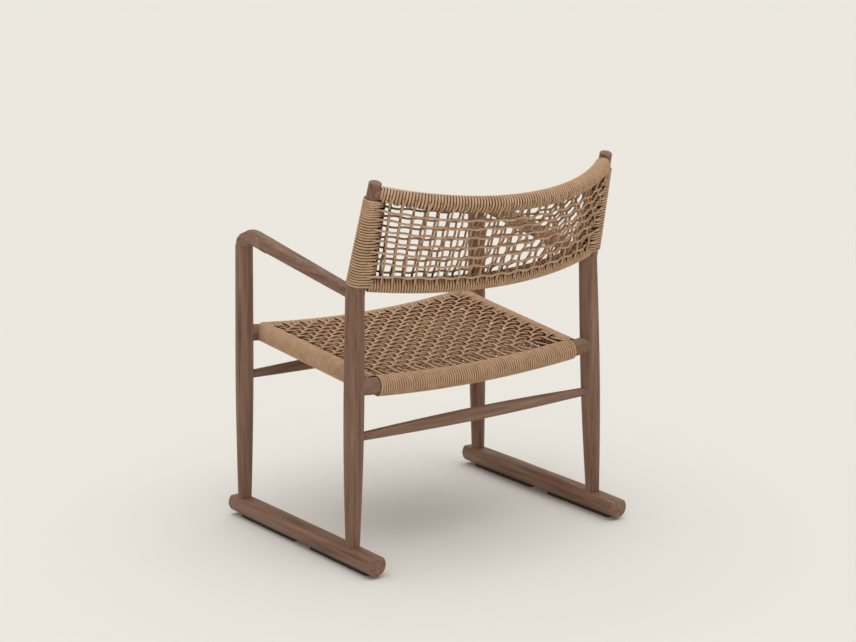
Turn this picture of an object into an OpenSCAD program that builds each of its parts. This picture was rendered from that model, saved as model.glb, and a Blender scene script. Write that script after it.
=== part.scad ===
/* [Stance] */
// Distance between the left and right legs at the runners, axis to axis
foot_spread = 606; // [560:1:660]
// Distance between the front legs' axes just below the armrests
front_top_spread = 589; // [550:1:640]
// Distance between the rear posts' axes at the bend
bend_spread = 576; // [540:1:620]
// Distance between the rear posts' axes at their tops
post_top_spread = 562; // [530:1:600]
// Distance from the front legs' axes back to the rear posts' axes
leg_depth = 385; // [370:1:430]
// How much further back the rear posts stand at the runners than at the bend
post_foot_back = 8; // [0:1:12]

/* [Heights] */
// Height of the rear posts' bend
bend_height = 540; // [530:1:550]
// Height of the rear posts' tops
post_top_height = 765; // [755:1:790]
// How far the rear posts lean back between the bend and the top
post_lean = 60; // [45:1:70]
// Height of the armrest's axis above the front leg
arm_front_height = 600; // [590:1:612]
// Height of the armrest's axis at the rear post
arm_rear_height = 540; // [532:1:546]
// Height of the front seat rail's axis at the legs
seat_front_height = 390; // [382:1:398]
// Height of the rear seat rail's axis at the posts
seat_rear_height = 359; // [352:1:366]
// How far the front seat rail dips at its middle
seat_front_dip = 18.5; // [10:0.5:24]
// How far the rear seat rail dips at its middle
seat_rear_dip = 15.5; // [10:0.5:22]
// Height of the front stretcher's axis
front_stretcher_height = 301; // [285:1:315]
// Height of the rear stretcher's axis
rear_stretcher_height = 259; // [245:1:275]
// Height of the upper back rail where it meets the posts
back_top_height = 744; // [738:1:746]
// Height of the lower back rail where it meets the posts
back_low_height = 564; // [562:1:572]

/* [Sections] */
// Diameter of the front legs at their thickest
front_leg_d = 37; // [35:0.5:40]
// Diameter of the rear posts at their thickest
post_d = 40.5; // [38:0.5:42]
// Diameter of the legs where they meet the runners
leg_foot_d = 28; // [25:0.5:30]
// Diameter of the rear posts at their tops
post_top_d = 25; // [24:0.5:28]
// Diameter of the front and rear seat rails
seat_rail_d = 34; // [32:0.5:35]
// Diameter of the side seat rails
side_rail_d = 32; // [30:0.5:33]
// Diameter of the curved back rails
back_rail_d = 25; // [21:0.5:26]
// Diameter of the stretchers at the middle
stretcher_mid_d = 27; // [24:0.5:30]
// Diameter of the stretchers at their ends
stretcher_end_d = 16; // [15:0.5:18]
// Diameter of the armrest at the front
arm_front_d = 33; // [31:0.5:35]
// Diameter of the armrest at the rear
arm_rear_d = 26; // [25:0.5:29]
// Diameter of the woven cord
cord_d = 4; // [3.5:0.25:4.5]

/* [Runners] */
// Diameter of the runner bars
runner_d = 42; // [40:1:46]
// How far the runners reach past the front legs
runner_front = 32; // [28:1:45]
// How far the runners reach past the rear posts
runner_rear = 92; // [80:1:110]
// Depth of the flat on top of a runner at its ends
runner_flat = 7; // [5:0.5:9]
// Thickness of the glides under the runners
glide_t = 5; // [3:0.5:6]
// Length of a glide
glide_length = 200; // [180:1:210]

/* [Back] */
// How far the upper back rail bows backward
back_top_bow = 104; // [90:1:108]
// How far the lower back rail bows backward
back_low_bow = 62; // [55:1:80]
// Downward tilt of both back rails' bows, in degrees
back_tilt = 18; // [12:0.5:20]

/* [Hidden] */
$fn = 96;

wood = "#73594a";
cord = "#b08c68";
rubber = "#2e2c2a";
steel = "#9a9a98";
eps = 0.01;

// The box of the whole chair is centred on the origin: the runners reach furthest
// forward and the cord on the upper back rail reaches furthest back.
top_lean = post_lean * (back_top_height - bend_height) / (post_top_height - bend_height);
back_reach = leg_depth + top_lean + back_top_bow * cos(back_tilt) + back_rail_d / 2 + cord_d;
front_y = -(back_reach - runner_front) / 2;
rear_y = front_y + leg_depth;

runner_r = runner_d / 2;
runner_z = glide_t + runner_r;
runner_top_z = runner_z + runner_r;
runner_front_y = front_y - runner_front;
runner_rear_y = rear_y + runner_rear;
runner_length = runner_rear_y - runner_front_y;
runner_x = foot_spread / 2;
end_round = 2;
// Height of a flat's plane over the bar's top at mid-length, so that the flats run out short of it
flat_run_out = 0.4;
leg_start_z = runner_z;
post_bend_d = post_d - 3;

seat_rail_r = seat_rail_d / 2;
side_rail_r = side_rail_d / 2;
back_rail_r = back_rail_d / 2;
seat_wrap_r = seat_rail_r + cord_d;
side_wrap_r = side_rail_r + cord_d;
back_wrap_r = back_rail_r + cord_d;
front_leg_top_z = arm_front_height - 27;

// Distance of the side seat rails' axes from the middle, at the front and at the rear
side_rail_front_x = 256;
side_rail_rear_x = 247;
// How far a side rail's axis lies above the front rail's where they meet
side_rail_front_rise = 2.5;
// Half the length of the cord sleeves on the front and rear seat rails
wrap_front_half = 252;
wrap_rear_half = 244;

tenon_d = 12;
leg_tenon_d = 16;
leg_tenon_z = runner_z - 8;
dowel_d = 10;
back_dowel_d = 8;
dowel_gap = 0.5;
// A woven sheet is two cords thick
weave_t = 2 * cord_d;

// Points of the frame, on the left (side = 1) or on the right (side = -1)
function front_foot(side) = [side * foot_spread / 2, front_y, leg_start_z];
function front_top(side) = [side * front_top_spread / 2, front_y, arm_front_height];
function post_foot(side) = [side * foot_spread / 2, rear_y + post_foot_back, leg_start_z];
function post_bend(side) = [side * bend_spread / 2, rear_y, bend_height];
function post_top(side) = [side * post_top_spread / 2, rear_y + post_lean, post_top_height];
function mix(a, b, t) = a + (b - a) * t;
function at_height(a, b, z) = mix(a, b, (z - a.z) / (b.z - a.z));
function front_leg_at(side, z) = at_height(front_foot(side), front_top(side), z);
function low_post_at(side, z) = at_height(post_foot(side), post_bend(side), z);
function high_post_at(side, z) = at_height(post_bend(side), post_top(side), z);
function unit(v) = v / norm(v);

// The front and rear seat rails are arcs in upright planes, which dip between the legs.
// end is the arc's left end, and x is a distance from the middle.
function dip_radius(end, dip) = (end.x * end.x + dip * dip) / (2 * dip);
function dip_point(end, dip, x) =
    let (r = dip_radius(end, dip))
    [x, end.y, end.z - dip + r - sqrt(r * r - x * x)];

// Ends of the rails
function front_rail_end(side) = front_leg_at(side, seat_front_height);
function rear_rail_end(side) = low_post_at(side, seat_rear_height);
function side_rail_front(side) =
    dip_point(front_rail_end(1), seat_front_dip, side * side_rail_front_x) + [0, 0, side_rail_front_rise];
function side_rail_rear(side) = dip_point(rear_rail_end(1), seat_rear_dip, side * side_rail_rear_x);
function front_stretcher_end(side) = front_leg_at(side, front_stretcher_height);
function rear_stretcher_end(side) = low_post_at(side, rear_stretcher_height);
function arm_front(side) = front_top(side);
function arm_rear(side) = [side * bend_spread / 2, rear_y, arm_rear_height];

// A back rail is an arc between the posts in a plane tilted down towards the back
function chord(z) = high_post_at(1, z).x;
function bow_radius(z, bow) = (chord(z) * chord(z) + bow * bow) / (2 * bow);
function bow_angle(z, bow) = asin(chord(z) / bow_radius(z, bow));
function bow_point(z, bow, share) =
    let (r = bow_radius(z, bow), h = bow_angle(z, bow), back = r * cos(h * share) - r * cos(h))
    [r * sin(h * share), high_post_at(1, z).y + back * cos(back_tilt), z - back * sin(back_tilt)];

// Places its children, which stand along +Z, along the line from a to b
module along(a, b) {
    v = b - a;
    translate(a) rotate([0, acos(v.z / norm(v)), atan2(v.y, v.x)]) children();
}

module rod(a, b, d) {
    along(a, b) cylinder(d = d, h = norm(b - a));
}

// An arc of round bar that dips between the legs, out to reach on each side of the middle
module dip_bar(end, dip, r, reach) {
    big = dip_radius(end, dip);
    half_angle = asin(reach / big);
    translate([0, end.y, end.z - dip + big]) rotate([90, 0, 0]) rotate([0, 0, -90 - half_angle])
        rotate_extrude(angle = 2 * half_angle, $fn = 720) translate([big, 0]) circle(r = r, $fn = 96);
}

module front_rail_bar(r, reach) {
    dip_bar(front_rail_end(1), seat_front_dip, r, reach);
}

module rear_rail_bar(r, reach) {
    dip_bar(rear_rail_end(1), seat_rear_dip, r, reach);
}

module cone(a, b, d1, d2) {
    along(a, b) cylinder(d1 = d1, d2 = d2, h = norm(b - a));
}

// A turned shaft that swells smoothly from d1 to d_mid at share mid of its length and back to d2
module turned(length, d1, d_mid, d2, mid = 0.5, steps = 16) {
    rise = length * mid;
    fall = length - rise;
    radii = [for (i = [0 : steps]) let (z = length * i / steps)
        z < rise
            ? d1 + (d_mid - d1) * sin(90 * z / rise)
            : d2 + (d_mid - d2) * cos(90 * (z - rise) / fall)] / 2;
    rotate_extrude()
        polygon(concat([[0, 0]], [for (i = [0 : steps]) [radii[i], length * i / steps]], [[0, length]]));
}

// One runner bar: a round bar with eased ends, and flats that run out near its middle
module runner_bar(side) {
    mid_y = (runner_front_y + runner_rear_y) / 2;
    half = runner_length / 2;
    slope = atan((runner_flat + flat_run_out) / half);
    difference() {
        translate([side * runner_x, mid_y, runner_z]) rotate([90, 0, 0])
            rotate_extrude() polygon([
                [0, -half], [runner_r - end_round, -half], [runner_r, end_round - half],
                [runner_r, half - end_round], [runner_r - end_round, half], [0, half]
            ]);
        for (end = [-1, 1])
            translate([side * runner_x - runner_d, mid_y, runner_top_z + flat_run_out])
                mirror([0, end < 0 ? 1 : 0, 0])
                    rotate([-slope, 0, 0]) cube([2 * runner_d, runner_length, runner_d]);
    }
}

module leg_tenons(side, extra = 0) {
    rod(front_leg_at(side, leg_tenon_z - extra), front_leg_at(side, runner_top_z), leg_tenon_d);
    rod(low_post_at(side, leg_tenon_z - extra), low_post_at(side, runner_top_z), leg_tenon_d);
}

module runner(side) {
    color(wood) difference() {
        runner_bar(side);
        leg_tenons(side, 1);
        for (front = [true, false]) glide_screw_shanks(side, front);
    }
}

// Glides: rounded strips under both ends of each runner, with two screws each
glide_w = 16;
glide_inset = 28;
glide_screw_step = 70;
screw_head_d = 7;
screw_head_t = 2.4;
screw_shank_d = 3.4;
screw_depth = 14;
glide_sink = 3;

function glide_y(front) = front
    ? runner_front_y + glide_inset + glide_length / 2
    : runner_rear_y - glide_inset - glide_length / 2;
function glide_top_z() = glide_t + glide_sink;

module glide_outline(side, front) {
    reach = (glide_length - glide_w) / 2;
    translate([side * runner_x, glide_y(front), 0]) union() {
        for (end = [-1, 1]) translate([0, end * reach, 0]) cylinder(d = glide_w, h = glide_top_z());
        translate([-glide_w / 2, -reach, 0]) cube([glide_w, 2 * reach, glide_top_z()]);
    }
}

module glide_screw_shanks(side, front) {
    for (end = [-1, 1])
        translate([side * runner_x, glide_y(front) + end * glide_screw_step, 1])
            cylinder(d = screw_shank_d, h = screw_depth);
}

module glide_screw_heads(side, front) {
    for (end = [-1, 1])
        translate([side * runner_x, glide_y(front) + end * glide_screw_step, 1])
            cylinder(d1 = screw_head_d, d2 = screw_shank_d, h = screw_head_t);
}

module glide(side, front) {
    color(rubber) difference() {
        glide_outline(side, front);
        runner_bar(side);
        glide_screw_shanks(side, front);
        glide_screw_heads(side, front);
        for (end = [-1, 1])
            translate([side * runner_x, glide_y(front) + end * glide_screw_step, -1])
                cylinder(d = screw_head_d, h = 2);
    }
}

module glide_screws() {
    color(steel) for (side = [-1, 1], front = [true, false]) {
        glide_screw_shanks(side, front);
        glide_screw_heads(side, front);
    }
}

// Front legs
module front_leg_shaft(side) {
    a = front_foot(side);
    b = front_leg_at(side, front_leg_top_z);
    along(a, b) turned(norm(b - a), leg_foot_d - 1, front_leg_d, front_leg_d - 1, 0.55);
}

module front_leg(side) {
    color(wood) difference() {
        union() {
            difference() {
                front_leg_shaft(side);
                runner_bar(side);
            }
            intersection() {
                leg_tenons(side);
                translate([0, front_y, 0])
                    cube([2 * foot_spread, 2 * leg_foot_d, 4 * runner_d], center = true);
            }
        }
        arm_front_dowel(side, dowel_gap);
        seat_rail_dowel(side, true, dowel_gap);
        stretcher_tenon(front_stretcher_end(side), dowel_gap);
    }
}

// Rear posts, which bend back at the armrests. A ball a little fuller than the shaft rounds the bend.
post_top_round = 1.5;
bend_ball_extra = 0.6;

module post_shaft(side) {
    a = post_foot(side);
    b = post_bend(side);
    c = post_top(side);
    top_length = norm(c - b);
    along(a, b) turned(norm(b - a), leg_foot_d - 1, post_d, post_bend_d, 0.58);
    translate(b) sphere(d = post_bend_d + bend_ball_extra);
    along(b, c) rotate_extrude() polygon([
        [0, 0], [post_bend_d / 2, 0], [post_top_d / 2, top_length - post_top_round],
        [post_top_d / 2 - post_top_round, top_length], [0, top_length]
    ]);
}

module rear_post(side) {
    color(wood) difference() {
        union() {
            difference() {
                post_shaft(side);
                runner_bar(side);
            }
            intersection() {
                leg_tenons(side);
                translate([0, rear_y, 0])
                    cube([2 * foot_spread, 2 * leg_foot_d, 4 * runner_d], center = true);
            }
        }
        arm_rear_dowel(side, dowel_gap);
        seat_rail_dowel(side, false, dowel_gap);
        stretcher_tenon(rear_stretcher_end(side), dowel_gap);
        back_rail_dowel(side, back_top_height, back_top_bow, dowel_gap);
        back_rail_dowel(side, back_low_height, back_low_bow, dowel_gap);
        post_tacks(side, tack_pocket);
    }
}

// Armrests: a tapered bar with a soft flat on top, turned down over the front leg
arm_bend = 46;
arm_flat_front = 0.8;
arm_flat_rear = 2.6;

module arm_bar(side) {
    a = arm_front(side);
    b = arm_rear(side);
    start = mix(a, b, arm_bend / norm(b - a));
    cone(start, b, arm_front_d, arm_rear_d);
}

module arm_corner(side) {
    a = arm_front(side);
    b = arm_rear(side);
    slope = atan((a.z - b.z) / (b.y - a.y));
    bend_r = arm_bend * tan((90 - slope) / 2);
    corner_d = arm_front_d - 1;
    fill_reach = 2 * arm_bend;
    translate([front_leg_at(side, a.z - arm_bend).x, 0, 0]) {
        translate([0, front_y + bend_r, a.z - arm_bend]) rotate([90, 0, 90]) rotate([0, 0, 90 - slope])
            rotate_extrude(angle = 90 + slope) translate([bend_r, 0]) circle(d = arm_front_d);
        // The inner corner is solid, so the bar and the leg's line meet in a crisp edge
        intersection() {
            translate([0, front_y + bend_r, a.z - arm_bend]) rotate([0, 90, 0])
                cylinder(r = bend_r + arm_front_d * 0.4, h = 2 * arm_front_d, center = true);
            union() {
                translate([0, front_y, a.z - fill_reach]) cylinder(d = corner_d, h = fill_reach);
                rod([0, front_y, a.z], [0, front_y + fill_reach, a.z - fill_reach * tan(slope)], corner_d);
            }
        }
    }
}

// The flat on top of the armrest, which fades out at the corner
module arm_flat(side) {
    a = arm_front(side);
    b = arm_rear(side);
    rise_a = arm_front_d / 2 - arm_flat_front;
    rise_b = arm_rear_d / 2 - arm_flat_rear;
    slope = atan((a.z + rise_a - b.z - rise_b) / (b.y - a.y));
    translate([a.x - arm_front_d, a.y, a.z + rise_a]) rotate([-slope, 0, 0])
        translate([0, -arm_front_d, 0]) cube([2 * arm_front_d, 2 * leg_depth, arm_front_d]);
}

module armrest(side) {
    color(wood) difference() {
        union() {
            arm_corner(side);
            arm_bar(side);
        }
        arm_flat(side);
        post_shaft(side);
        arm_front_dowel(side, dowel_gap);
        arm_rear_dowel(side, dowel_gap);
        translate([side * front_top_spread / 2, front_y, front_leg_top_z - arm_bend])
            cube(2 * arm_bend, center = true);
    }
}

module arm_front_dowel(side, gap = 0) {
    down = 22;
    up = 16;
    rod(front_leg_at(side, front_leg_top_z - down - gap), front_leg_at(side, front_leg_top_z + up + gap),
        dowel_d + 2);
}

module arm_rear_dowel(side, gap = 0) {
    b = arm_rear(side);
    dir = unit(arm_front(side) - b);
    rod(b - dir * (9 + gap), b + dir * (38 + gap), dowel_d);
}

module arm_front_dowels() {
    color(wood) for (side = [-1, 1]) arm_front_dowel(side);
}

module arm_rear_dowels() {
    color(wood) for (side = [-1, 1]) arm_rear_dowel(side);
}

// Seat rails
module seat_rail_dowel(side, front, gap = 0) {
    end = front ? front_rail_end(side) : rear_rail_end(side);
    dip = front ? seat_front_dip : seat_rear_dip;
    inner = dip_point([abs(end.x), end.y, end.z], dip, end.x * 0.95);
    dir = unit(inner - end);
    rod(end - dir * (9 + gap), end + dir * (36 + gap), dowel_d);
}

module seat_rail_dowels() {
    color(wood) for (side = [-1, 1], front = [true, false]) seat_rail_dowel(side, front);
}

module side_rail_dowel(side, front, gap = 0) {
    a = front ? side_rail_front(side) : side_rail_rear(side);
    b = front ? side_rail_rear(side) : side_rail_front(side);
    dir = unit(b - a);
    rod(a + dir * (4 - gap), a + dir * (40 + gap), dowel_d);
}

module side_rail_dowels() {
    color(wood) for (side = [-1, 1], front = [true, false]) side_rail_dowel(side, front);
}

module seat_rail_front() {
    color(wood) difference() {
        front_rail_bar(seat_rail_r, front_rail_end(1).x);
        for (side = [-1, 1]) {
            front_leg_shaft(side);
            seat_rail_dowel(side, true, dowel_gap);
            side_rail_dowel(side, true, dowel_gap);
        }
        front_rail_tacks(tack_pocket);
    }
}

module seat_rail_rear() {
    color(wood) difference() {
        rear_rail_bar(seat_rail_r, rear_rail_end(1).x);
        for (side = [-1, 1]) {
            post_shaft(side);
            seat_rail_dowel(side, false, dowel_gap);
            side_rail_dowel(side, false, dowel_gap);
        }
        rear_rail_tacks(tack_pocket);
    }
}

module seat_rail_side(side) {
    color(wood) difference() {
        rod(side_rail_front(side), side_rail_rear(side), side_rail_d);
        front_rail_bar(seat_rail_r, front_rail_end(1).x);
        rear_rail_bar(seat_rail_r, rear_rail_end(1).x);
        side_rail_dowel(side, true, dowel_gap);
        side_rail_dowel(side, false, dowel_gap);
        side_rail_tacks(side, tack_pocket);
    }
}

// Stretchers: turned bars with a round tenon at each end
module stretcher_tenon(end, gap = 0) {
    side = end.x > 0 ? 1 : -1;
    rod(end + [side * (7 + gap), 0, 0], end - [side * 30, 0, 0], tenon_d);
}

module stretcher(left_end, right_end) {
    color(wood) {
        difference() {
            along(left_end, right_end)
                turned(norm(right_end - left_end), stretcher_end_d, stretcher_mid_d, stretcher_end_d);
            children();
        }
        stretcher_tenon(left_end);
        stretcher_tenon(right_end);
    }
}

module stretcher_front() {
    stretcher(front_stretcher_end(1), front_stretcher_end(-1)) {
        front_leg_shaft(1);
        front_leg_shaft(-1);
    }
}

module stretcher_rear() {
    stretcher(rear_stretcher_end(1), rear_stretcher_end(-1)) {
        post_shaft(1);
        post_shaft(-1);
    }
}

// Back rails: round bars bent to an arc
module bow_bar(z, bow, r, trim = 0) {
    big = bow_radius(z, bow);
    h = bow_angle(z, bow) - trim;
    sag = big * cos(bow_angle(z, bow));
    translate([0, high_post_at(1, z).y - sag * cos(back_tilt), z + sag * sin(back_tilt)])
        rotate([-back_tilt, 0, 0]) rotate([0, 0, 90 - h])
            rotate_extrude(angle = 2 * h, $fn = 180) translate([big, 0]) circle(r = r);
}

module back_rail(z, bow) {
    color(wood) difference() {
        bow_bar(z, bow, back_rail_r);
        for (side = [-1, 1]) {
            post_shaft(side);
            back_rail_dowel(side, z, bow, dowel_gap);
        }
    }
}

module back_rail_dowel(side, z, bow, gap = 0) {
    end = bow_point(z, bow, side);
    dir = unit(bow_point(z, bow, side * 0.99) - end);
    rod(end - dir * (5 + gap), end + dir * (30 + gap), back_dowel_d);
}

module back_rail_dowels() {
    color(wood) for (side = [-1, 1]) {
        back_rail_dowel(side, back_top_height, back_top_bow);
        back_rail_dowel(side, back_low_height, back_low_bow);
    }
}

// Cord sleeves: one layer of cord wound turn against turn round each rail
module wrap_seat_front() {
    color(cord) difference() {
        front_rail_bar(seat_wrap_r, wrap_front_half);
        front_rail_bar(seat_rail_r, front_rail_end(1).x);
        for (side = [-1, 1]) rod(side_rail_front(side), side_rail_rear(side), side_rail_d);
    }
}

module wrap_seat_rear() {
    color(cord) difference() {
        rear_rail_bar(seat_wrap_r, wrap_rear_half);
        rear_rail_bar(seat_rail_r, rear_rail_end(1).x);
        for (side = [-1, 1]) rod(side_rail_front(side), side_rail_rear(side), side_rail_d);
    }
}

module wrap_seat_side(side) {
    color(cord) difference() {
        rod(side_rail_front(side), side_rail_rear(side), 2 * side_wrap_r);
        rod(side_rail_front(side), side_rail_rear(side), side_rail_d);
        front_rail_bar(seat_wrap_r, front_rail_end(1).x);
        rear_rail_bar(seat_wrap_r, rear_rail_end(1).x);
    }
}

module wrap_back(z, bow, trim) {
    color(cord) difference() {
        bow_bar(z, bow, back_wrap_r, trim);
        bow_bar(z, bow, back_rail_r);
        for (side = [-1, 1]) post_shaft(side);
    }
}

// The sleeve round a post is fuller on the inner side, where the weave turns round it
post_wrap_low = back_low_height - 7;
post_wrap_high = back_top_height - 8;
post_wrap_bulge = 8;

module wrap_post(side) {
    a = high_post_at(side, post_wrap_low);
    b = high_post_at(side, post_wrap_high);
    low_d = post_bend_d + 2 * cord_d;
    high_d = post_top_d + 2 + 2 * cord_d;
    inward = [-side * post_wrap_bulge, 0, 0];
    color(cord) difference() {
        union() {
            cone(a, b, low_d, high_d);
            cone(a + inward, b + inward, low_d - 2, high_d - 2);
        }
        post_shaft(side);
        bow_bar(back_low_height, back_low_bow, back_wrap_r);
        bow_bar(back_top_height, back_top_bow, back_wrap_r);
    }
}

// Seat weave: two sheets of woven cord, over and under the seat rails. The cords that run from
// side to side are tight, so the sheet dips less between the front and rear rails.
seat_columns = 24;
seat_rows = 6;
seat_trim = 17.5;
seat_side_trim = 16.5;
seat_lift = 4;

function seat_point(across, down) =
    let (x = across * mix(side_rail_front_x, side_rail_rear_x, down))
    mix(dip_point(front_rail_end(1), seat_front_dip, x), dip_point(rear_rail_end(1), seat_rear_dip, x), down)
        + [0, 0, seat_lift * 4 * down * (1 - down) * (1 - across * across)];
seat_slope = atan((seat_front_height - seat_rear_height) / leg_depth);
seat_normal = [0, sin(seat_slope), cos(seat_slope)];

module seat_sheet(over) {
    wide = 1 - seat_side_trim / side_rail_front_x;
    near = seat_trim / leg_depth;
    low = over ? seat_wrap_r - weave_t : -seat_wrap_r;
    rows = seat_rows + 1;
    face = (seat_columns + 1) * rows;
    points = [for (layer = [0, 1], i = [0 : seat_columns], j = [0 : seat_rows])
        seat_point(wide * (2 * i / seat_columns - 1), near + (1 - 2 * near) * j / seat_rows)
            + seat_normal * (low + layer * weave_t)];
    function at(layer, i, j) = layer * face + i * rows + j;
    flats = [for (i = [0 : seat_columns - 1], j = [0 : seat_rows - 1], layer = [0, 1], half = [0, 1])
        let (a = at(layer, i, j), b = at(layer, i + 1, j))
        let (c = at(layer, i + 1, j + 1), d = at(layer, i, j + 1))
        layer == 1 ? (half == 0 ? [a, c, b] : [a, d, c]) : (half == 0 ? [a, b, c] : [a, c, d])];
    ends = [for (i = [0 : seat_columns - 1], j = [0, seat_rows])
        let (a = at(0, i, j), b = at(0, i + 1, j), c = at(1, i + 1, j), d = at(1, i, j))
        j == 0 ? [d, c, b, a] : [a, b, c, d]];
    edges = [for (j = [0 : seat_rows - 1], i = [0, seat_columns])
        let (a = at(0, i, j), b = at(0, i, j + 1), c = at(1, i, j + 1), d = at(1, i, j))
        i == 0 ? [a, b, c, d] : [d, c, b, a]];
    color(cord) polyhedron(points, concat(flats, ends, edges));
}

// Back weave: two curved sheets of woven cord, in front of and behind the back rails
back_trim = back_wrap_r + 1;
back_side_trim = 0.115;
back_columns = 28;

function back_frame_point(share, up) =
    mix(bow_point(back_low_height, back_low_bow, share), bow_point(back_top_height, back_top_bow, share), up);
function back_normal(share) =
    unit(cross(
        bow_point(back_low_height, back_low_bow, share - 0.01)
            - bow_point(back_low_height, back_low_bow, share + 0.01),
        bow_point(back_top_height, back_top_bow, share) - bow_point(back_low_height, back_low_bow, share)));

module back_sheet(near, far) {
    up_low = back_trim / (back_top_height - back_low_height);
    up_high = 1 - up_low;
    wide = 1 - back_side_trim;
    corners = [[up_low, near], [up_high, near], [up_high, far], [up_low, far]];
    points = [for (i = [0 : back_columns], c = corners)
        let (share = wide * (2 * i / back_columns - 1))
        back_frame_point(share, c[0]) + back_normal(share) * c[1]];
    sides = [for (i = [0 : back_columns - 1], k = [0 : 3])
        [4 * i + k, 4 * i + (k + 1) % 4, 4 * i + 4 + (k + 1) % 4, 4 * i + 4 + k]];
    last = 4 * back_columns;
    color(cord) polyhedron(points, concat(sides, [[3, 2, 1, 0]], [[last, last + 1, last + 2, last + 3]]));
}

// Tacks that hold the cord's ends to the frame, with their heads sunk flush with the wood.
// With pocket over 0 the head reaches that much further out, to cut its own recess.
tack_shank_d = 1.6;
tack_head_d = 5;
tack_length = 9;
tack_head_t = 0.8;
tack_sink = 0.3;
tack_pocket = 2;
tack_share = 0.76;

module tack(pocket) {
    translate([0, 0, tack_sink]) cylinder(d = tack_shank_d, h = tack_length);
    translate([0, 0, tack_sink - pocket]) cylinder(d = tack_head_d, h = tack_head_t + pocket);
}

// A tack driven up into the underside of a bar of radius r whose axis is at spot
module tack_under(spot, r, pocket) {
    translate([spot.x, spot.y, spot.z - r]) tack(pocket);
}

module front_rail_tacks(pocket = 0) {
    end = front_rail_end(1);
    for (side = [-1, 1])
        tack_under(dip_point(end, seat_front_dip, side * tack_share * end.x), seat_rail_r, pocket);
}

module rear_rail_tacks(pocket = 0) {
    end = rear_rail_end(1);
    for (side = [-1, 1])
        tack_under(dip_point(end, seat_rear_dip, side * tack_share * end.x), seat_rail_r, pocket);
}

module side_rail_tacks(side, pocket = 0) {
    for (share = [1 - tack_share, tack_share])
        tack_under(mix(side_rail_front(side), side_rail_rear(side), share), side_rail_r, pocket);
}

// Two tacks in the inner side of a post
module post_tacks(side, pocket = 0) {
    for (z = [back_low_height + 40, back_top_height - 40]) {
        spot = high_post_at(side, z);
        r = mix(post_bend_d, post_top_d, (z - bend_height) / (post_top_height - bend_height)) / 2;
        translate([spot.x - side * r, spot.y, z]) rotate([0, side * 90, 0]) tack(pocket);
    }
}

module seat_cord_tacks() {
    color(steel) {
        front_rail_tacks();
        rear_rail_tacks();
        for (side = [-1, 1]) side_rail_tacks(side);
    }
}

module back_cord_tacks() {
    color(steel) for (side = [-1, 1]) post_tacks(side);
}

runner(1);  // runner_left
runner(-1);  // runner_right
glide(1, true);  // glide_front_left
glide(-1, true);  // glide_front_right
glide(1, false);  // glide_rear_left
glide(-1, false);  // glide_rear_right
glide_screws();
front_leg(1);  // front_leg_left
front_leg(-1);  // front_leg_right
rear_post(1);  // rear_post_left
rear_post(-1);  // rear_post_right
armrest(1);  // armrest_left
armrest(-1);  // armrest_right
arm_front_dowels();
arm_rear_dowels();
seat_rail_front();
seat_rail_rear();
seat_rail_side(1);  // seat_rail_left
seat_rail_side(-1);  // seat_rail_right
seat_rail_dowels();
side_rail_dowels();
stretcher_front();
stretcher_rear();
back_rail(back_top_height, back_top_bow);  // back_rail_top
back_rail(back_low_height, back_low_bow);  // back_rail_bottom
back_rail_dowels();
wrap_seat_front();
wrap_seat_rear();
wrap_seat_side(1);  // wrap_seat_left
wrap_seat_side(-1);  // wrap_seat_right
wrap_back(back_top_height, back_top_bow, 0);  // wrap_back_top
wrap_back(back_low_height, back_low_bow, 2);  // wrap_back_bottom
wrap_post(1);  // wrap_post_left
wrap_post(-1);  // wrap_post_right
seat_sheet(true);  // seat_weave_top
seat_sheet(false);  // seat_weave_bottom
back_sheet(-back_wrap_r, weave_t - back_wrap_r);  // back_weave_front
back_sheet(back_wrap_r - weave_t, back_wrap_r);  // back_weave_rear
seat_cord_tacks();
back_cord_tacks();
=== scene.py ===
import math

import bpy
import numpy as np
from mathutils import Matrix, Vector


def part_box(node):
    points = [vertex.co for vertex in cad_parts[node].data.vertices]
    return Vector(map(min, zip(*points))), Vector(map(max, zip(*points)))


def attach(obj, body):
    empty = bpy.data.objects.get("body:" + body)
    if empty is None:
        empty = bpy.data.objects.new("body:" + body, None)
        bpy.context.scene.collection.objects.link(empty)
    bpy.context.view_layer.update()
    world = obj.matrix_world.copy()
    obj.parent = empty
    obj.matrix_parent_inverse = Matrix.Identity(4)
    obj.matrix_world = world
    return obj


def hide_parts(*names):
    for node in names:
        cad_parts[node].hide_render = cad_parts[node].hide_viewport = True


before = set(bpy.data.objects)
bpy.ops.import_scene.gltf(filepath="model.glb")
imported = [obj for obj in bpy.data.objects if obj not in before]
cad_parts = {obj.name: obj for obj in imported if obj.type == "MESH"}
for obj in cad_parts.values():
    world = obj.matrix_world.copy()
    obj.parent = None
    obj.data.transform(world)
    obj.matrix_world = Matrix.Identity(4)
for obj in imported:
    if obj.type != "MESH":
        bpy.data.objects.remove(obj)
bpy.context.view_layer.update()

# ---- driving dimensions, in metres, the same as the CAD's ----
CORD_T = 0.004          # thickness of the cord
CORD_W = 0.0049         # width of a turn on a rail, pressed flat
WEAVE_W = 0.0048        # width of the cord in the weave
FRONT_Y = -0.261405     # axis of the front seat rail
REAR_Y = 0.126412       # axis of the rear seat rail
SEAT_CROWN = 0.004      # rise of the woven seat in its middle
SEAT_TILT = math.atan2(0.031, 0.385)    # fall of the seat from its front to its rear rail
RAILS = {
    "front": {"y": FRONT_Y, "x": 0.29761, "z": 0.390, "dip": 0.0185, "r": 0.017},
    "rear": {"y": REAR_Y, "x": 0.29328, "z": 0.359, "dip": 0.0155, "r": 0.017},
}
SIDE_RAIL = {"x0": 0.256, "x1": 0.247, "z0": 0.38764, "z1": 0.3545, "r": 0.016}
POST_LOW, POST_HIGH = (0.288, 0.123595, 0.540), (0.281, 0.183595, 0.765)
POST_R_LOW, POST_R_HIGH = 0.01875, 0.0125
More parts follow.
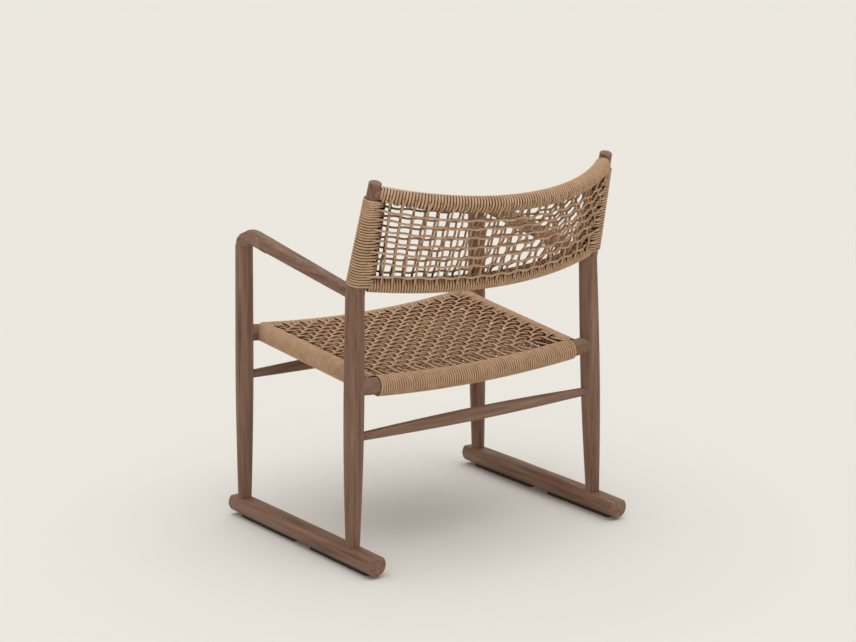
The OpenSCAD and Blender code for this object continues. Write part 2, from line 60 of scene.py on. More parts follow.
BACK_RAILS = {"top": {"z": 0.744, "bow": 0.104}, "bottom": {"z": 0.564, "bow": 0.062}}
BACK_R = 0.0125
BACK_TILT = math.radians(18)

# ---- where the weaving cords run ----
WARPS = 22
WARP_FRONT = (0.229, -0.2246)       # first and last warp on the front rail
WARP_REAR = (0.224, -0.2348)        # first and last warp on the rear rail
WEFT_FIRST = 0.024                  # from the front rail's axis to the first weft
WEFT_STEP, WEFTS = 0.0209, 16
VERTICALS = 24
VERTICAL_LOW = (0.854, -0.854)      # shares of the half arc on the bottom rail
VERTICAL_HIGH = (0.889, -0.889)
BACK_WEFTS = (                      # heights of the wefts above the lower back rail
    0.0209, 0.0470, 0.0694, 0.0921, 0.1127, 0.1337, 0.1517)
BACK_SPAN = 0.178                   # from the lower to the upper back rail, along the woven back
BACK_HALF_ARC = 0.3                 # rough length of half a back rail
TURNS = 4                           # turns of the wrap in one pitch of the weave

CRIMP = 0.0025                      # how far a woven cord rises and falls about the weave's middle
POST_SWELL = (0.0142, 0.0102)       # how far the post wraps stand off inwards, low and high
POST_WRAP_ENDS = (0.0045, 0.0095)   # how far a post wrap ends below the lower and the upper back rail
POST_LAST_GAP = 5                   # turns of a post wrap in the lowest pitch of the weave
POST_FILLERS = (                    # angle in half turns, and share of the swell
    (-0.5, 0.85), (-0.34, 0.55), (-0.66, 0.55), (-0.5, 0.15))

END_TUCK = {"top": 0.0045, "bottom": 0.0015}    # how far a back rail's wrap runs on beside the post
END_ROOM = 0.7                      # cord widths left free at the ends of a back rail's wrap
OVERRUN = 0.6                       # angle by which a wrap's cord runs on past its outer turns
SEAT_UNEVEN, BACK_UNEVEN = 0.0004, 0.0012       # unevenness of the woven cords' places on their rails
WAVER = 0.0008                      # unevenness of the woven rows

# ---- how the cords are made ----
STRAND_PITCH = 0.0042               # spacing of the strands along the cord
STRANDS = 3.0                       # strands round the cord
SIDES = 8                           # corners of a cord's section
TURN_STEPS = 20                     # rings in one turn round a rail
FILLER_RINGS = 40                   # rings of a filler cord under a post wrap
RING_GAP = 0.0026                   # distance between the rings of a woven cord
UNDERSIDE_GAP = 1.2 * RING_GAP      # the same on the underside of the seat
WARP_LENGTH, WEFT_LENGTH, BACK_LENGTH = 0.39, 0.51, 0.6     # rough lengths that set the number of rings


# ---- geometry of the frame ----
def mix(a, b, t):
    return a + (b - a) * t


def unit(v):
    v = np.asarray(v, float)
    return v / np.linalg.norm(v, axis=-1, keepdims=True)


def seat_rail_height(rail, x):
    radius = (rail["x"] ** 2 + rail["dip"] ** 2) / (2 * rail["dip"])
    return rail["z"] - rail["dip"] + radius - np.sqrt(radius**2 - np.asarray(x, float) ** 2)


def seat_rail_axis(name):
    rail = RAILS[name]

    def axis(x):
        x = np.asarray(x, float)
        return np.stack([x, np.full_like(x, rail["y"]), seat_rail_height(rail, x)], -1)

    return axis


def side_rail_axis(side):
    def axis(y):
        v = (np.asarray(y, float) - FRONT_Y) / (REAR_Y - FRONT_Y)
        x = side * mix(SIDE_RAIL["x0"], SIDE_RAIL["x1"], v)
        return np.stack([x, np.asarray(y, float), mix(SIDE_RAIL["z0"], SIDE_RAIL["z1"], v)], -1)

    return axis


def post_point(z, side=1):
    share = (np.asarray(z, float) - POST_LOW[2]) / (POST_HIGH[2] - POST_LOW[2])
    x = side * mix(POST_LOW[0], POST_HIGH[0], share)
    return np.stack([x, mix(POST_LOW[1], POST_HIGH[1], share), np.asarray(z, float)], -1)


def post_radius(z):
    return mix(POST_R_LOW, POST_R_HIGH, (z - POST_LOW[2]) / (POST_HIGH[2] - POST_LOW[2]))


def back_rail_arc(name):
    z, bow = BACK_RAILS[name]["z"], BACK_RAILS[name]["bow"]
    chord = float(post_point(z)[0])
    radius = (chord**2 + bow**2) / (2 * bow)
    return z, radius, math.asin(chord / radius)


def back_rail_axis(name):
    z, radius, half = back_rail_arc(name)
    y = float(post_point(z)[1])

    def axis(share):
        share = np.asarray(share, float)
        back = radius * np.cos(half * share) - radius * math.cos(half)
        x = radius * np.sin(half * share)
        return np.stack([x, y + back * math.cos(BACK_TILT), z - back * math.sin(BACK_TILT)], -1)

    return axis


SEAT_UP = np.array([0, math.sin(SEAT_TILT), math.cos(SEAT_TILT)])
OVER, UNDER = RAILS["front"]["r"] + CRIMP, RAILS["front"]["r"] - CRIMP      # heights in the seat's weave
BACK_LOW, BACK_HIGH = back_rail_axis("bottom"), back_rail_axis("top")


def seat_surface(x, v):
    """Middle of the seat, x across and v from the front rail's axis to the rear one's."""
    u = x / mix(SIDE_RAIL["x0"], SIDE_RAIL["x1"], v)
    z = mix(seat_rail_height(RAILS["front"], x), seat_rail_height(RAILS["rear"], x), v)
    z = z + SEAT_CROWN * 4 * v * (1 - v) * (1 - u * u)
    return np.stack([x, mix(FRONT_Y, REAR_Y, v) + 0 * x, z], -1)


def back_surface(share, up):
    return mix(BACK_LOW(share), BACK_HIGH(share), np.asarray(up, float)[..., None])


def back_normal(share, up):
    """Towards the rear, square to the woven back."""
    d = 1e-4
    across = back_surface(share + d, up) - back_surface(share - d, up)
    rise = BACK_HIGH(share) - BACK_LOW(share)
    n = unit(np.cross(across, rise))
    return n * np.sign(n[..., 1:2])


# ---- cords ----
def turn_point(axis, place, angle, radius, up, out):
    """A point round a rail: angle 0 is its up side, a quarter turn its outer side."""
    d = 1e-4
    along = unit(axis(place + d) - axis(place - d))
    n = unit(up - along * np.sum(up * along, -1, keepdims=True))
    o = np.cross(along, n)
    o = o * np.sign(np.sum(o * out, -1, keepdims=True))
    ray = np.cos(angle)[..., None] * n + np.sin(angle)[..., None] * o
    return axis(place) + np.asarray(radius)[..., None] * ray, ray


def slots_between(first, last, weave, gaps):
    """Slots of a wrap from first to last: woven ones at weave, gaps[i] turns from one to the next."""
    sign = 1 if last > first else -1
    places, woven = [], []
    step = (weave[1] - weave[0]) / gaps[0]
    before = int(abs(weave[0] - first) / abs(step))
    places += [weave[0] - step * k for k in range(before, 0, -1)]
    woven += [False] * before
    for i, place in enumerate(weave[:-1]):
        for k in range(gaps[i]):
            places.append(mix(place, weave[i + 1], k / gaps[i]))
            woven.append(k == 0)
    step = (weave[-1] - weave[-2]) / gaps[-1]
    places.append(weave[-1])
    woven.append(True)
    after = int(sign * (last - weave[-1]) / abs(step))
    places += [weave[-1] + step * k for k in range(1, after + 1)]
    woven += [False] * after
    return places, woven


def wrap(axis, radius_at, up, out, places, woven, swell=None):
    """The plain turns as one long cord, and the half turn of each weaving cord."""
    quarter = {p: (places[min(i + 1, len(places) - 1)] - places[max(i - 1, 0)]) / 2 / 4
               for i, p in enumerate(places)}
    plain = [p for p, w in zip(places, woven) if not w]
    angles, at = [], []
    for k, p in enumerate(plain):
        angles += [2 * math.pi * k, 2 * math.pi * k + math.pi]
        at += [p - quarter[p], p + quarter[p]]
    angle = np.linspace(angles[0] - OVERRUN, angles[-1] + OVERRUN, len(plain) * TURN_STEPS + 1)
    place = np.interp(angle, angles, at)
    radius = radius_at(place) + CORD_T / 2
    if swell is not None:
        radius = radius + swell(place) * np.clip(-np.sin(angle), 0, 1)
    path, ray = turn_point(axis, place, angle, radius, up, out)
    halves = []
    for p, w in zip(places, woven):
        if w:
            angle = np.linspace(0, math.pi, TURN_STEPS // 2 + 1)
            place = np.linspace(p - quarter[p], p + quarter[p], len(angle))
            halves.append(turn_point(axis, place, angle, radius_at(place) + CORD_T / 2, up, out))
    return (path, ray), halves


def waves(stations, levels, t):
    """Smooth crimp: level at each station, flat there, and a soft S between them."""
    stations, levels = np.asarray(stations, float), np.asarray(levels, float)
    i = np.clip(np.searchsorted(stations, t, side="right") - 1, 0, len(stations) - 2)
    s = np.clip((t - stations[i]) / (stations[i + 1] - stations[i]), 0, 1)
    return mix(levels[i], levels[i + 1], s * s * (3 - 2 * s))


def pinned(path, start, end):
    """path moved so that it begins at start and ends at end."""
    t = np.linspace(0, 1, len(path))[:, None]
    return path + mix(start - path[0], end - path[-1], t)


def doubled(points):
    """The points with one more halfway between each two."""
    more = [points[0]]
    for a, b in zip(points, points[1:]):
        more += [(a + b) / 2, b]
    return more


def wavy(rng, t, size):
    """A slow sideways sway along a row, none at its ends."""
    return sum(rng.normal(0, size / k) * np.sin(math.pi * k * t) for k in range(1, 8))


def spread(ends, count):
    return np.linspace(ends[0], ends[1], count)


def uneven(ends, count, rng, size):
    """Places spread between two ends, each a little off, as a hand-woven row has them."""
    return list(spread(ends, count) + rng.normal(0, size, count))


class Bundle:
    """Cords gathered into one mesh."""

    def __init__(self):
        self.verts, self.quads, self.caps, self.loops = [], [], [], []
        self.count, self.length = 0, 0.0

    def add(self, path, normal, width):
        path = np.asarray(path, float)
        tangent = unit(np.gradient(path, axis=0))
        side = unit(np.cross(tangent, normal))
        face = np.cross(side, tangent)
        phi = np.arange(SIDES) * 2 * math.pi / SIDES
        ring = (side[:, None] * np.cos(phi)[None, :, None] * width / 2
                + face[:, None] * np.sin(phi)[None, :, None] * CORD_T / 2)
        self.verts.append((path[:, None] + ring).reshape(-1, 3))
        steps = np.linalg.norm(np.diff(path, axis=0), axis=1)
        run = np.concatenate([[0], np.cumsum(steps)])
        n = len(path)
        i = np.repeat(np.arange(n - 1), SIDES)
        j = np.tile(np.arange(SIDES), n - 1)
        k = (j + 1) % SIDES
        base, here, there = self.count, i * SIDES, (i + 1) * SIDES
        self.quads.append(base + np.stack([here + j, here + k, there + k, there + j], -1))
        around0, around1 = j / SIDES, (j + 1) / SIDES
        uv = np.stack([np.stack([run[i], around0], -1), np.stack([run[i], around1], -1),
                       np.stack([run[i + 1], around1], -1), np.stack([run[i + 1], around0], -1)], 1)
        self.loops.append(uv.reshape(-1, 2))
        self.caps.append(base + np.arange(SIDES)[::-1])
        self.caps.append(base + (n - 1) * SIDES + np.arange(SIDES))
        self.count += n * SIDES
        self.length += run[-1]

    def build(self, name, node):
        faces = np.concatenate(self.quads).tolist() + [c.tolist() for c in self.caps]
        mesh = bpy.data.meshes.new(name)
        mesh.from_pydata(np.concatenate(self.verts).tolist(), [], faces)
        uv = np.concatenate(self.loops + [np.zeros((len(self.caps) * SIDES, 2))])
        layer = mesh.uv_layers.new(name="cord")
        layer.data.foreach_set("uv", uv.astype(np.float32).ravel())
        mesh.polygons.foreach_set("use_smooth", [True] * len(mesh.polygons))
        obj = bpy.data.objects.new(name, mesh)
        bpy.context.scene.collection.objects.link(obj)
        mesh.materials.append(MATERIALS["cord"])
        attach(obj, "root")
        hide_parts(node)
        LENGTHS[node] = self.length


# ---- materials ----
def srgb(r, g, b):
    def linear(c):
        c /= 255
        return c / 12.92 if c <= 0.04045 else ((c + 0.055) / 1.055) ** 2.4

    return (linear(r), linear(g), linear(b), 1)


def new_material(name):
    mat = bpy.data.materials.new(name)
    mat.use_nodes = True
    tree = mat.node_tree
    return mat, tree, tree.nodes["Principled BSDF"]


def link(tree, a, out, b, into):
    tree.links.new(a.outputs[out], b.inputs[into])


def math_node(tree, kind, a, b=None):
    node = tree.nodes.new("ShaderNodeMath")
    node.operation = kind
    for slot, value in ((0, a), (1, b)):
        if value is None:
            continue
        if isinstance(value, (int, float)):
            node.inputs[slot].default_value = value
        else:
            tree.links.new(value, node.inputs[slot])
    return node.outputs[0]


def ramp(tree, source, stops):
    node = tree.nodes.new("ShaderNodeValToRGB")
    tree.links.new(source, node.inputs[0])
    elements = node.color_ramp.elements
    while len(elements) < len(stops):
        elements.new(0.5)
    for e, (place, colour) in zip(elements, stops):
        e.position = place
        e.color = colour
    return node.outputs[0]


def colour_mix(tree, kind, share, a, b):
    node = tree.nodes.new("ShaderNodeMix")
    node.data_type = "RGBA"
    node.blend_type = kind
    for slot, value in ((0, share), (6, a), (7, b)):
        if isinstance(value, (int, float, tuple)):
            node.inputs[slot].default_value = value
        else:
            tree.links.new(value, node.inputs[slot])
    return node.outputs[2]


def noise(tree, vector, scale, detail, rough):
    node = tree.nodes.new("ShaderNodeTexNoise")
    node.inputs["Scale"].default_value = scale
    node.inputs["Detail"].default_value = detail
    node.inputs["Roughness"].default_value = rough
    tree.links.new(vector, node.inputs["Vector"])
    return node.outputs["Fac"]


def stretched(tree, scale):
    """Object coordinates squeezed by scale, so that a texture runs long in one direction."""
    place = tree.nodes.new("ShaderNodeTexCoord")
    mapping = tree.nodes.new("ShaderNodeMapping")
    mapping.inputs["Scale"].default_value = scale
    tree.links.new(place.outputs["Object"], mapping.inputs["Vector"])
    return mapping.outputs[0]


def edge_wear(tree, radius):
    """1 on edges, 0 on flat ground, from the rounded and the true normal."""
    bevel = tree.nodes.new("ShaderNodeBevel")
    bevel.samples = 6
    bevel.inputs["Radius"].default_value = radius
    geometry = tree.nodes.new("ShaderNodeNewGeometry")
    dot = tree.nodes.new("ShaderNodeVectorMath")
    dot.operation = "DOT_PRODUCT"
    link(tree, bevel, "Normal", dot, 0)
    link(tree, geometry, "Normal", dot, 1)
    bare = math_node(tree, "SUBTRACT", 1.0, dot.outputs["Value"])
    return math_node(tree, "MINIMUM", math_node(tree, "MULTIPLY", bare, 5.0), 1.0)


def bump(tree, shader, height, distance, strength):
    node = tree.nodes.new("ShaderNodeBump")
    node.inputs["Distance"].default_value = distance
    node.inputs["Strength"].default_value = strength
    tree.links.new(height, node.inputs["Height"])
    link(tree, node, "Normal", shader, "Normal")


def wood(name, axis):
    """Satin walnut brown; the grain runs along axis 0, 1 or 2."""
    mat, tree, shader = new_material(name)
    long_way = [1.0, 1.0, 1.0]
    long_way[axis] = 0.045
    grain = noise(tree, stretched(tree, long_way), 120, 5, 0.6)
    fine = noise(tree, stretched(tree, [c if c < 1 else 4.0 for c in long_way]), 110, 3, 0.7)
    cloud = noise(tree, stretched(tree, [c if c < 1 else 0.4 for c in long_way]), 30, 2, 0.5)
    colour = ramp(tree, grain, [
        (0.28, srgb(97, 69, 53)), (0.42, srgb(127, 96, 77)),
        (0.58, srgb(143, 112, 92)), (0.75, srgb(158, 129, 109))])
    colour = colour_mix(tree, "MULTIPLY", 0.55, colour, ramp(tree, fine, [
        (0.33, srgb(168, 150, 140)), (0.5, srgb(255, 255, 255))]))
    colour = colour_mix(tree, "MULTIPLY", 0.5, colour, ramp(tree, cloud, [
        (0.35, srgb(214, 190, 176)), (0.65, srgb(255, 252, 248))]))
    worn = edge_wear(tree, 0.0015)
    share = math_node(tree, "MULTIPLY", worn, 0.5)
    colour = colour_mix(tree, "MIX", share, colour, srgb(168, 143, 124))
    tree.links.new(colour, shader.inputs["Base Color"])
    rough = math_node(tree, "ADD", math_node(tree, "MULTIPLY", fine, 0.16), 0.42)
    tree.links.new(math_node(tree, "SUBTRACT", rough, math_node(tree, "MULTIPLY", worn, 0.08)),
                   shader.inputs["Roughness"])
    shader.inputs["Specular IOR Level"].default_value = 0.42
    bump(tree, shader, fine, 0.00025, 0.5)
    return mat


def strand_ridges(tree):
    """1 on the strands' backs and 0 between them, on a slant round the cord."""
    uv = tree.nodes.new("ShaderNodeUVMap")
    uv.uv_map = "cord"
    parts = tree.nodes.new("ShaderNodeSeparateXYZ")
    link(tree, uv, "UV", parts, 0)
    phase = math_node(tree, "ADD", math_node(tree, "MULTIPLY", parts.outputs[0], 1 / STRAND_PITCH),
                      math_node(tree, "MULTIPLY", parts.outputs[1], STRANDS))
    sine = math_node(tree, "SINE", math_node(tree, "MULTIPLY", phase, math.pi))
    return math_node(tree, "ABSOLUTE", sine)


def crevice_painted_shade(tree):
    """Painted shade, from ambient occlusion: white in the open and dark where other cords stand close and
    shade it.
    """
    shade = tree.nodes.new("ShaderNodeAmbientOcclusion")
    shade.samples = 6
    shade.inputs["Distance"].default_value = 0.035
    return ramp(tree, shade.outputs["AO"], [(0.28, srgb(58, 40, 29)), (0.78, srgb(255, 255, 255))])


def cord_material():
    """Twisted paper cord: strands on a slant, tan, with painted shade between the strands and where other
    cords stand close, dry.
    """
    mat, tree, shader = new_material("woven_cord")
    strand = strand_ridges(tree)
    fibre = noise(tree, stretched(tree, [1.0, 1.0, 1.0]), 1400, 3, 0.7)
    patch = noise(tree, stretched(tree, [1.0, 1.0, 1.0]), 55, 3, 0.6)
    colour = ramp(tree, patch, [
        (0.3, srgb(199, 161, 127)), (0.5, srgb(211, 174, 140)), (0.7, srgb(222, 187, 154))])
    # painted shade in the grooves between the strands
    colour = colour_mix(tree, "MULTIPLY", 0.75, colour, ramp(tree, strand, [
        (0.0, srgb(150, 122, 100)), (0.4, srgb(255, 255, 255))]))
    colour = colour_mix(tree, "MULTIPLY", 0.35, colour, ramp(tree, fibre, [
        (0.35, srgb(190, 170, 150)), (0.6, srgb(255, 255, 255))]))
    # painted shade: the ambient occlusion darkens the cord's colour where other cords shade it
    colour = colour_mix(tree, "MULTIPLY", 1.0, colour, crevice_painted_shade(tree))
    tree.links.new(colour, shader.inputs["Base Color"])
    tree.links.new(math_node(tree, "ADD", math_node(tree, "MULTIPLY", fibre, 0.2), 0.62),
                   shader.inputs["Roughness"])
    shader.inputs["Specular IOR Level"].default_value = 0.3
    height = math_node(tree, "ADD", strand, math_node(tree, "MULTIPLY", fibre, 0.35))
    bump(tree, shader, height, 0.0004, 0.7)
    return mat


def plain_material(name, colour, rough, metal, wear_colour):
    """Steel or moulded plastic with fine mottling and worn edges."""
    mat, tree, shader = new_material(name)
    fine = noise(tree, stretched(tree, [1.0, 1.0, 1.0]), 900, 3, 0.6)
    base = colour_mix(tree, "MULTIPLY", 0.4, colour, ramp(tree, fine, [
        (0.3, srgb(190, 190, 190)), (0.6, srgb(255, 255, 255))]))
    worn = math_node(tree, "MULTIPLY", edge_wear(tree, 0.0006), 0.6)
    tree.links.new(colour_mix(tree, "MIX", worn, base, wear_colour), shader.inputs["Base Color"])
    tree.links.new(math_node(tree, "ADD", math_node(tree, "MULTIPLY", fine, 0.15), rough),
                   shader.inputs["Roughness"])
    shader.inputs["Metallic"].default_value = metal
    bump(tree, shader, fine, 0.00008, 0.4)
    return mat


MATERIALS = {
    "wood_x": wood("wood_grain_x", 0),
    "wood_y": wood("wood_grain_y", 1),
    "wood_z": wood("wood_grain_z", 2),
    "cord": cord_material(),
    "glide": plain_material("dark_glide", srgb(46, 42, 39), 0.55, 0.0, srgb(88, 82, 76)),
    "steel": plain_material("bright_steel", srgb(176, 174, 170), 0.28, 1.0, srgb(214, 212, 208)),
}
LENGTHS = {}
GRAIN = {
    "wood_y": ("runner_", "armrest_", "seat_rail_left", "seat_rail_right", "seat_rail_dowels"),
    "wood_x": ("seat_rail_front", "seat_rail_rear", "stretcher_", "back_rail_", "side_rail_dowels"),
    "wood_z": ("front_leg_", "rear_post_", "arm_front_dowels", "arm_rear_dowels"),
    "glide": ("glide_front", "glide_rear"),
    "steel": ("glide_screws", "seat_cord_tacks", "back_cord_tacks"),
    "cord": ("wrap_", "seat_weave_", "back_weave_"),
}


def paint_cad_nodes():
    """Each CAD node gets the material of its kind; wood has its grain along the piece."""
    for name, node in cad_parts.items():
        kinds = [k for k, starts in GRAIN.items() if name.startswith(starts)]
        for slot in node.material_slots:
            slot.material = MATERIALS[kinds[0]]


# ---- the seat ----
def seat_wrap(node, axis, radius, out, ends, weave):
    """The wrap of one seat rail; returns the half turns of its weaving cords."""
    places, woven = slots_between(ends[0], ends[1], weave, [TURNS] * (len(weave) - 1))
    plain, half = wrap(axis, lambda p: radius + 0 * p, SEAT_UP, out, places, woven)
    wrap_bundle(node, plain, half)
    return half


def seat_wraps():
    """Wraps of the four seat rails; returns the half turns of the weaving cords by rail."""
    halves, rng = {}, np.random.default_rng(7)
    for name, ends, front in (("front", WARP_FRONT, -1.0), ("rear", WARP_REAR, 1.0)):
        node = "wrap_seat_" + name
        lo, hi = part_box(node)
        weave = uneven(ends, WARPS, rng, SEAT_UNEVEN)
        halves[name] = seat_wrap(node, seat_rail_axis(name), RAILS[name]["r"], np.array([0, front, 0]),
                                 (hi.x - CORD_W / 2, lo.x + CORD_W / 2), weave)
    first = FRONT_Y + WEFT_FIRST
    for name, side in (("left", 1), ("right", -1)):
        node = "wrap_seat_" + name
        lo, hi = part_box(node)
        weave = uneven((first, first + WEFT_STEP * (WEFTS - 1)), WEFTS, rng, SEAT_UNEVEN)
        halves[name] = seat_wrap(node, side_rail_axis(side), SIDE_RAIL["r"], np.array([float(side), 0, 0]),
                                 (lo.y + CORD_W / 2, hi.y - CORD_W / 2), weave)
    return halves


def post_fillers(side, low, high):
    """Cords that run down the inner side of a post and fill out its wrap."""
    height = np.linspace(low, high, FILLER_RINGS)
    fillers = []
    for turn, share in POST_FILLERS:
        off = post_radius(height) + CORD_T / 2 + share * (mix(*POST_SWELL, 0.5) - CORD_T / 2)
        angle = np.full_like(height, turn * math.pi)
        up, out = np.array([0, 1.0, 0]), np.array([float(side), 0, 0])
        fillers.append(turn_point(lambda z: post_point(z, side), height, angle, off, up, out))
    return fillers


def wrap_bundle(node, plain, halves, fillers=()):
    bundle = Bundle()
    for path, ray in fillers:
        bundle.add(path, ray, CORD_W)
    bundle.add(plain[0], plain[1], CORD_W)
    for path, ray in halves:
        bundle.add(path, ray, mix(WEAVE_W, CORD_W, 0.5))
    bundle.build("cord_" + node, node)


def seat_warps(bundle, rng, up, ends, weft_v, gap):
    """Cords from the front rail to the rear one; the odd ones go under where the even ones go over."""
    for i, (a, b) in enumerate(ends):
        v = np.linspace(0, 1, int(WARP_LENGTH / gap))
        x = mix(a[0], b[0], v) + wavy(rng, v, WAVER)
        levels = [OVER] + [OVER if (i + j) % 2 else UNDER for j in range(len(weft_v))] + [OVER]
        height = waves([0] + weft_v + [1], levels, v)
        path = seat_surface(x, v) + height[:, None] * up
        bundle.add(pinned(path, a, b), np.tile(up, (len(v), 1)), WEAVE_W)


def seat_wefts(bundle, rng, up, ends, warps, weft_v, gap):
    """Cords from the left rail to the right one, over and under the warps."""
    for j, (a, b) in enumerate(ends):
        t = np.linspace(0, 1, int(WEFT_LENGTH / gap))
        y = mix(a[1], b[1], t) + wavy(rng, t, WAVER)
        x, v = mix(a[0], b[0], t), (y - FRONT_Y) / (REAR_Y - FRONT_Y)
        cross = [(mix(p[0], q[0], weft_v[j]) - a[0]) / (b[0] - a[0]) for p, q in warps]
        first, last = (float(np.dot(p - seat_surface(np.array(p[0]), np.array(k)), up))
                       for p, k in ((a, v[0]), (b, v[-1])))
        levels = [first] + [UNDER if (i + j) % 2 else OVER for i in range(len(warps))] + [last]
        height = waves([0] + cross + [1], levels, t)
        path = seat_surface(x, v) + height[:, None] * up
        bundle.add(pinned(path, a, b), np.tile(up, (len(t), 1)), WEAVE_W)


def seat_layer(node, face, halves):
    """Plain weave on one face of the seat: face 1 is the top, -1 the denser underside."""
    end = 0 if face > 0 else -1
    starts = {k: [h[0][end] for h in half] for k, half in halves.items()}
    if face < 0:
        starts = {k: doubled(points) for k, points in starts.items()}
    gap = RING_GAP if face > 0 else UNDERSIDE_GAP
    warps = list(zip(starts["front"], starts["rear"]))
    wefts = list(zip(starts["left"], starts["right"]))
    weft_v = [((a[1] + b[1]) / 2 - FRONT_Y) / (REAR_Y - FRONT_Y) for a, b in wefts]
    bundle, rng = Bundle(), np.random.default_rng(31 + face)
    seat_warps(bundle, rng, face * SEAT_UP, warps, weft_v, gap)
    seat_wefts(bundle, rng, face * SEAT_UP, wefts, warps, weft_v, gap)
    bundle.build("cord_" + node, node)


# ---- the back ----
def back_rail_wrap(name, axis, weave_ends, up_sign, rng):
    """The wrap of one back rail; returns the half turns of its weaving cords."""
    z, radius, half_angle = back_rail_arc(name)
    inner = float(post_point(z)[0] - post_radius(z)) + END_TUCK[name]
    reach = math.asin(inner / radius) / half_angle
    margin = CORD_W * END_ROOM / (radius * half_angle)
    weave = uneven(weave_ends, VERTICALS, rng, BACK_UNEVEN)
    places, woven = slots_between(reach - margin, margin - reach, weave, [TURNS] * (VERTICALS - 1))
    out = np.array([0, 0, up_sign])
    plain, half = wrap(axis, lambda p: BACK_R + 0 * p, np.array([0, 1.0, 0]), out, places, woven)
    wrap_bundle("wrap_back_" + name, plain, half)
    return half


def post_wrap(name, side):
    """The wrap of one post, wound downwards; returns the half turns of the wefts from low to high."""
    low, high = BACK_RAILS["bottom"]["z"], BACK_RAILS["top"]["z"]
    weave = [mix(low, high, w / BACK_SPAN) for w in BACK_WEFTS][::-1]
    gaps = [TURNS] * (len(weave) - 2) + [POST_LAST_GAP]
    places, woven = slots_between(high - POST_WRAP_ENDS[1], low - POST_WRAP_ENDS[0], weave, gaps)

    def swell(z):
        return mix(*POST_SWELL, np.clip((z - low) / (high - low), 0, 1))

    plain, half = wrap(lambda z: post_point(z, side), post_radius, np.array([0, 1.0, 0]),
                       np.array([float(side), 0, 0]), places, woven, swell)
    wrap_bundle("wrap_post_" + name, plain, half, post_fillers(side, places[-1], places[0]))
    return half[::-1]


def back_wraps():
    """Wraps of the back rails and the posts; returns the half turns of the weaving cords."""
    rng = np.random.default_rng(11)
    return {
        "top": back_rail_wrap("top", BACK_HIGH, VERTICAL_HIGH, 1.0, rng),
        "bottom": back_rail_wrap("bottom", BACK_LOW, VERTICAL_LOW, -1.0, rng),
        "left": post_wrap("left", 1),
        "right": post_wrap("right", -1),
    }


def back_verticals(bundle, rng, face, ends, shares, up_at):
    """Cords from the lower back rail to the upper one."""
    over, under = BACK_R + CRIMP, BACK_R - CRIMP
    for i, (a, b) in enumerate(ends):
        up = np.linspace(0, 1, int(BACK_SPAN / RING_GAP))
        share = mix(shares[i][0], shares[i][1], up) + wavy(rng, up, WAVER) / BACK_HALF_ARC
        levels = [over] + [over if (i + j) % 2 else under for j in range(len(up_at))] + [over]
        n = face * back_normal(share, up)
        path = back_surface(share, up) + waves([0] + up_at + [1], levels, up)[:, None] * n
        bundle.add(pinned(path, a, b), n, WEAVE_W)


def back_wefts(bundle, rng, face, ends, shares, up_at):
    """Cords from the left post to the right one, over and under the verticals."""
    over, under = BACK_R + CRIMP, BACK_R - CRIMP
    for j, (a, b) in enumerate(ends):
        share = np.linspace(1, -1, int(BACK_LENGTH / RING_GAP))
        up = np.full_like(share, up_at[j]) + wavy(rng, (1 - share) / 2, 1.5 * WAVER) / BACK_SPAN
        n = face * back_normal(share, up)
        base = back_surface(share, up)
        first, last = float(np.dot(a - base[0], n[0])), float(np.dot(b - base[-1], n[-1]))
        cross = [-mix(p, q, up_at[j]) for p, q in shares]
        levels = [first] + [under if (i + j) % 2 else over for i in range(VERTICALS)] + [last]
        path = base + waves([-1] + cross + [1], levels, -share)[:, None] * n
        bundle.add(pinned(path, a, b), n, WEAVE_W)


def back_layer(node, face, halves):
    """Plain weave on one face of the back: face 1 looks to the rear, -1 to the front."""
    end = 0 if face > 0 else -1
    starts = {k: [h[0][end] for h in half] for k, half in halves.items()}
    up_at = [w / BACK_SPAN for w in BACK_WEFTS]
    shares = list(zip(spread(VERTICAL_LOW, VERTICALS), spread(VERTICAL_HIGH, VERTICALS)))
    bundle, rng = Bundle(), np.random.default_rng(21 + face)
    back_verticals(bundle, rng, face, zip(starts["bottom"], starts["top"]), shares, up_at)
    back_wefts(bundle, rng, face, zip(starts["left"], starts["right"]), shares, up_at)
    bundle.build("cord_" + node, node)


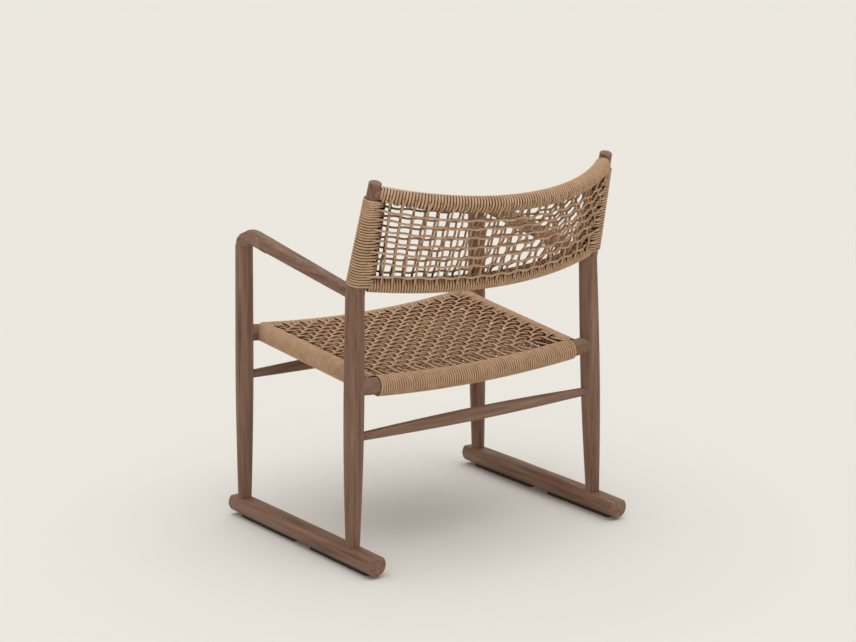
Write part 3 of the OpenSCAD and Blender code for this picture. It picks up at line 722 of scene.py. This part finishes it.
# ---- the stage ----
def make_floor():
    mesh = bpy.data.meshes.new("floor")
    reach = 40.0
    corners = [(-reach, -reach, 0), (reach, -reach, 0), (reach, reach, 0), (-reach, reach, 0)]
    mesh.from_pydata(corners, [], [(0, 1, 2, 3)])
    floor = bpy.data.objects.new("floor", mesh)
    bpy.context.scene.collection.objects.link(floor)
    mat, _, shader = new_material("pale_floor")
    shader.inputs["Base Color"].default_value = srgb(228, 226, 221)
    shader.inputs["Roughness"].default_value = 0.9
    shader.inputs["Specular IOR Level"].default_value = 0.1
    mesh.materials.append(mat)


LAMPS = (                               # name, strength, size and direction in degrees
    ("overhead", 1.78, 85, (0, -6, 0)),
    ("behind", 0.62, 90, (-45, 0, -37)),
)


def make_light():
    world = bpy.data.worlds.new("soft_room")
    bpy.context.scene.world = world
    world.use_nodes = True
    background = world.node_tree.nodes["Background"]
    background.inputs["Color"].default_value = (1.0, 0.985, 0.955, 1)
    background.inputs["Strength"].default_value = 0.38
    for name, strength, size, angles in LAMPS:
        data = bpy.data.lights.new(name, "SUN")
        data.energy = strength
        data.angle = math.radians(size)
        data.color = (1.0, 0.985, 0.96)
        lamp = bpy.data.objects.new(name, data)
        lamp.rotation_euler = [math.radians(a) for a in angles]
        bpy.context.scene.collection.objects.link(lamp)
    bpy.context.scene.view_settings.view_transform = "Standard"


CAMERA_AT = (2.8138, FRONT_Y + 4.07107, 1.5716)
CAMERA_FORWARD = (-0.5777, -0.7893, -0.2079)


def make_camera():
    data = bpy.data.cameras.new("camera")
    data.sensor_width = 36
    data.lens = 101.42
    data.shift_y = -0.0803
    camera = bpy.data.objects.new("camera", data)
    camera.location = CAMERA_AT
    camera.rotation_euler = Vector(CAMERA_FORWARD).to_track_quat("-Z", "Y").to_euler()
    bpy.context.scene.collection.objects.link(camera)
    bpy.context.scene.camera = camera


paint_cad_nodes()
seat_halves = seat_wraps()
seat_layer("seat_weave_top", 1, seat_halves)
seat_layer("seat_weave_bottom", -1, seat_halves)
back_halves = back_wraps()
back_layer("back_weave_rear", 1, back_halves)
back_layer("back_weave_front", -1, back_halves)
lengths = {k: round(v, 1) for k, v in LENGTHS.items()}
print("cord lengths in metres:", lengths, round(sum(LENGTHS.values()), 1))
make_floor()
make_light()
make_camera()
